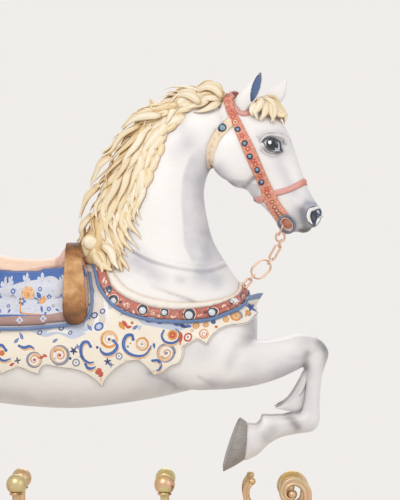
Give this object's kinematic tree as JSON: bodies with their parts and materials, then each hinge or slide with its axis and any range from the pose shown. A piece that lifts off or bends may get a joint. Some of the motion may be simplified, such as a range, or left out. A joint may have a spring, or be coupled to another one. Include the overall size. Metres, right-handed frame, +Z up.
{
  "type": "carousel horse",
  "caption": "Carved and painted carousel horse rearing from its hind hooves on a low plinth with gilded scrolls, with a saddle, scalloped cloth, studded collar, bridle and chain rein.",
  "frame": {"origin": "centre of the plinth's underside", "axes": "+X the way the horse faces, +Z up, -Y the horse's right side"},
  "size_m": [1.5421, 0.42, 1.4182],
  "materials": {
    "horse": "carved wood, painted white with a soft satin varnish",
    "eye_glass": "polished dark glass eye",
    "pearl": "pearly glass cabochon in a dark rim",
    "blue_glass": "blue glass cabochon",
    "bit_iron": "dark blued iron",
    "rein_metal": "rose-gold plated chain",
    "strap_leather": "mottled brown leather, darker at its ends",
    "plinth": "cream painted wood with a satin varnish",
    "gilding": "gold leaf over carved wood, a little rubbed"
  },
  "bodies": {
    "root": {"horse": "horse", "eye_right": "eye_glass", "collar_stud_right_1": "pearl", "bridle_gem_right_1": "blue_glass", "collar_stud_right_2": "pearl", "bridle_gem_right_2": "blue_glass", "collar_stud_right_3": "pearl", "bridle_gem_right_3": "blue_glass", "collar_stud_right_4": "pearl", "bridle_gem_right_4": "blue_glass", "collar_stud_right_5": "pearl", "bridle_gem_right_5": "blue_glass", "collar_diamond_right": "pearl", "collar_gem_right": "blue_glass", "throat_gem_right": "blue_glass", "bit_ring_right": "bit_iron", "rein_snap_right": "rein_metal", "rein_long_link_right": "rein_metal", "rein_ring_right": "rein_metal", "rein_end_link_right": "rein_metal", "rein_connector_1_right": "rein_metal", "rein_connector_2_right": "rein_metal", "rein_connector_3_right": "rein_metal", "rein_connector_4_right": "rein_metal", "eye_left": "eye_glass", "collar_stud_left_1": "pearl", "bridle_gem_left_1": "blue_glass", "collar_stud_left_2": "pearl", "bridle_gem_left_2": "blue_glass", "collar_stud_left_3": "pearl", "bridle_gem_left_3": "blue_glass", "collar_stud_left_4": "pearl", "bridle_gem_left_4": "blue_glass", "collar_stud_left_5": "pearl", "bridle_gem_left_5": "blue_glass", "collar_diamond_left": "pearl", "collar_gem_left": "blue_glass", "throat_gem_left": "blue_glass", "bit_ring_left": "bit_iron", "rein_snap_left": "rein_metal", "rein_long_link_left": "rein_metal", "rein_ring_left": "rein_metal", "rein_end_link_left": "rein_metal", "rein_connector_1_left": "rein_metal", "rein_connector_2_left": "rein_metal", "rein_connector_3_left": "rein_metal", "rein_connector_4_left": "rein_metal", "pommel_strap": "strap_leather", "base": "plinth", "base_scroll_right_front": "gilding", "base_finial_right_front": "gilding", "base_scroll_right_rear": "gilding", "base_finial_right_rear": "gilding", "base_scroll_left_front": "gilding", "base_finial_left_front": "gilding", "base_scroll_left_rear": "gilding", "base_finial_left_rear": "gilding"}
  },
  "joints": []
}
